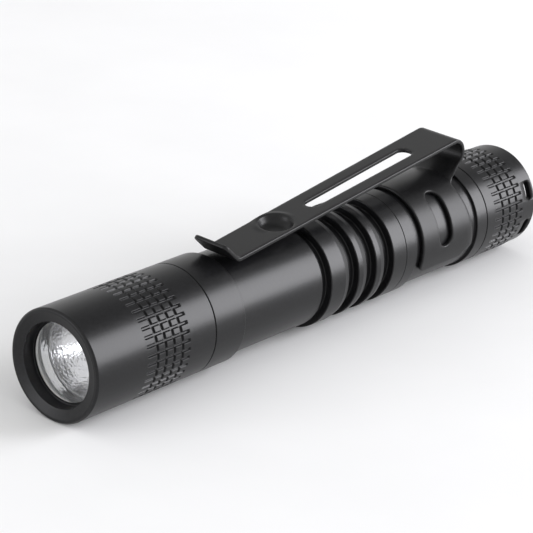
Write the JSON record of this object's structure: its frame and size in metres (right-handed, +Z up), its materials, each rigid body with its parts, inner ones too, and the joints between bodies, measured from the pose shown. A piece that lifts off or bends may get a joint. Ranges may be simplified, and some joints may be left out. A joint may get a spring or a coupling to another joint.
{
  "type": "pen light",
  "caption": "Slim black cylindrical pen light with a knurled head and tail cap, ringed grip, recessed lens and a folded spring-steel pocket clip on a band that grips the body.",
  "frame": {"origin": "centre of the length, on the line the light lies on: the lowest line of its barrel with the clip on top", "axes": "+X along the beam, from the tail to the head; +Z up to the clip; +Y to the side with the lanyard slots"},
  "size_m": [0.089, 0.015, 0.0198],
  "materials": {
    "anodised_black": "fine bead-blasted black anodised, satin",
    "clip_steel": "black oxide spring steel, half gloss",
    "lens_glass": "clear, polished",
    "reflector_silver": "vacuum-metallised, orange-peel texture",
    "seal_rubber": "matte",
    "button_rubber": "matte",
    "led_ceramic": "matte",
    "led_silicone": "clear over yellow phosphor",
    "white_insulator": "matte",
    "board_core": "white solder mask",
    "brass": "turned",
    "wire": "matte",
    "circuit_board": "satin solder mask",
    "chip_black": "matte",
    "spring_plated": "bright plated",
    "cell_wrap": "plain glossy wrap",
    "cell_contact": "nickel plated",
    "switch_black": "matte"
  },
  "bodies": {
    "tube": {"body_tube": "anodised_black", "rear_sleeve": "anodised_black", "cell_can": "cell_wrap", "cell_cap": "cell_contact", "cell_seal": "white_insulator"},
    "front_seal": {"front_o_ring": "seal_rubber"},
    "head": {"head_shell": "anodised_black", "lens_gasket": "white_insulator", "lens": "lens_glass", "reflector": "reflector_silver", "led_spacer": "white_insulator", "led_package": "led_ceramic", "led_dome": "led_silicone", "led_board": "board_core", "pill": "brass", "led_wires": "wire", "driver_board": "circuit_board", "driver_parts": "chip_black", "driver_spring": "spring_plated"},
    "rear_seal": {"rear_o_ring": "seal_rubber"},
    "tail": {"tail_cap": "anodised_black", "switch_ring": "brass", "switch_housing": "switch_black", "switch_board": "circuit_board", "tail_spring": "spring_plated"},
    "button": {"tail_button": "button_rubber", "switch_plunger": "white_insulator"},
    "band": {"clip_band": "clip_steel"},
    "arm": {"clip_arm": "clip_steel"}
  },
  "joints": [
    {"name": "head_turn", "type": "hinge", "parent": "tube", "child": "front_seal", "pos_m": [0, 0, 0.00725], "axis": [1, 0, 0], "range_deg": [0, 1440]},
    {"name": "head_travel", "type": "slide", "parent": "front_seal", "child": "head", "axis": [1, 0, 0], "range_m": [0, 0.003]},
    {"name": "tail_turn", "type": "hinge", "parent": "tube", "child": "rear_seal", "pos_m": [0, 0, 0.00725], "axis": [-1, 0, 0], "range_deg": [0, 1440]},
    {"name": "tail_travel", "type": "slide", "parent": "rear_seal", "child": "tail", "axis": [-1, 0, 0], "range_m": [0, 0.003]},
    {"name": "button_press", "type": "slide", "parent": "tail", "child": "button", "axis": [1, 0, 0], "range_m": [0, 0.0013], "stiffness_N_per_m": 1200},
    {"name": "clip_swivel", "type": "hinge", "parent": "tube", "child": "band", "pos_m": [0, 0, 0.00725], "axis": [1, 0, 0], "continuous": true},
    {"name": "clip_flex", "type": "hinge", "parent": "band", "child": "arm", "pos_m": [-0.03118, 0, 0.01752], "axis": [0, -1, 0], "range_deg": [0, 4.5], "stiffness_Nm_per_rad": 4}
  ],
  "couplings": [
    {"joint": "head_turn", "follows": "head_travel", "rad_per_m": 8377.6},
    {"joint": "tail_turn", "follows": "tail_travel", "rad_per_m": 8377.6}
  ]
}
